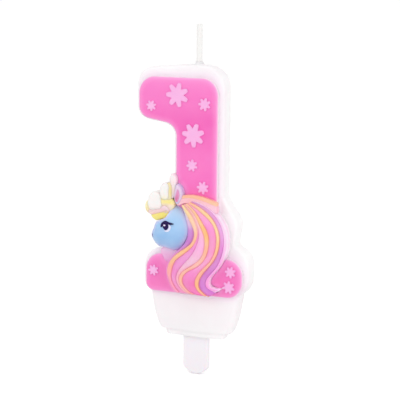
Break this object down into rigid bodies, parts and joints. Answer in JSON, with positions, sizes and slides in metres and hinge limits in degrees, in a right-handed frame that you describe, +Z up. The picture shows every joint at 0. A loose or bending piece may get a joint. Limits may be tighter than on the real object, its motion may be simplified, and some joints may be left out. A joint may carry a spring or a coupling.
{
  "type": "number birthday candle",
  "caption": "White wax figure one faced with pink wax, wax stars and a pony's head with a striped mane, on a tapered foot with a wick above and a flat plastic pick below.",
  "frame": {"origin": "On the pick's and wick's shared axis, level with the underside of the wax foot, where the candle meets the cake.", "axes": "+X to the viewer's right across the front of the number, +Y from its decorated front to its back, +Z up towards the wick."},
  "size_m": [0.0392, 0.013, 0.1131],
  "materials": {
    "white_wax": "satin, slightly translucent paraffin wax",
    "pink_wax": "satin pink wax fading to white at its sides",
    "star_wax": "satin light pink wax",
    "blue_wax": "satin light blue wax with lavender edges",
    "lavender_wax": "satin lavender wax",
    "rose_wax": "satin rose wax",
    "cream_wax": "satin off-white wax",
    "yellow_wax": "satin yellow wax",
    "pale_yellow_wax": "satin pale yellow wax",
    "salmon_wax": "satin salmon wax",
    "peach_wax": "satin peach wax",
    "purple_wax": "satin purple wax, deeper towards the tips",
    "mane_pink_wax": "satin pink wax",
    "pale_pink_wax": "satin pale pink wax",
    "white_paint": "painted white",
    "dark_paint": "painted near-black navy",
    "mauve_paint": "painted mauve",
    "waxed_cotton": "waxed braided cotton",
    "clear_plastic": "smooth milky translucent plastic"
  },
  "bodies": {
    "pick": {"pick": "clear_plastic"},
    "candle": {"wax_body": "white_wax", "wick": "waxed_cotton", "number_front_upper": "pink_wax", "number_front_lower": "pink_wax", "mane_bed": "pale_pink_wax", "head": "blue_wax", "neck": "lavender_wax", "eye_iris": "dark_paint", "eye_glint": "mauve_paint", "eyelash": "dark_paint", "eye_white": "white_paint", "nostril": "dark_paint", "ear": "lavender_wax", "ear_inner": "rose_wax", "forelock_tuft_front": "cream_wax", "forelock_tuft_middle": "cream_wax", "forelock_tuft_back": "cream_wax", "forelock_band_yellow": "yellow_wax", "forelock_band_pink": "salmon_wax", "forelock_edge_front": "pale_yellow_wax", "forelock_edge_middle": "pale_yellow_wax", "forelock_root": "pale_yellow_wax", "mane_purple_inner": "purple_wax", "mane_orange_inner": "peach_wax", "mane_rose": "rose_wax", "mane_pale": "pale_pink_wax", "mane_orange_middle": "peach_wax", "mane_pink": "mane_pink_wax", "mane_orange_outer": "peach_wax", "mane_purple_outer": "purple_wax", "mane_rim": "pale_pink_wax", "crown_lock_upper": "peach_wax", "crown_lock_lower": "pale_pink_wax", "star_1": "star_wax", "star_2": "star_wax", "star_3": "star_wax", "star_4": "star_wax", "star_5": "star_wax", "star_6": "star_wax", "star_7": "star_wax", "star_8": "star_wax", "star_9": "star_wax"}
  },
  "joints": [
    {"name": "candle_lift", "type": "slide", "parent": "pick", "child": "candle", "axis": [0, 0, 1], "range_m": [0, 0.018]}
  ]
}
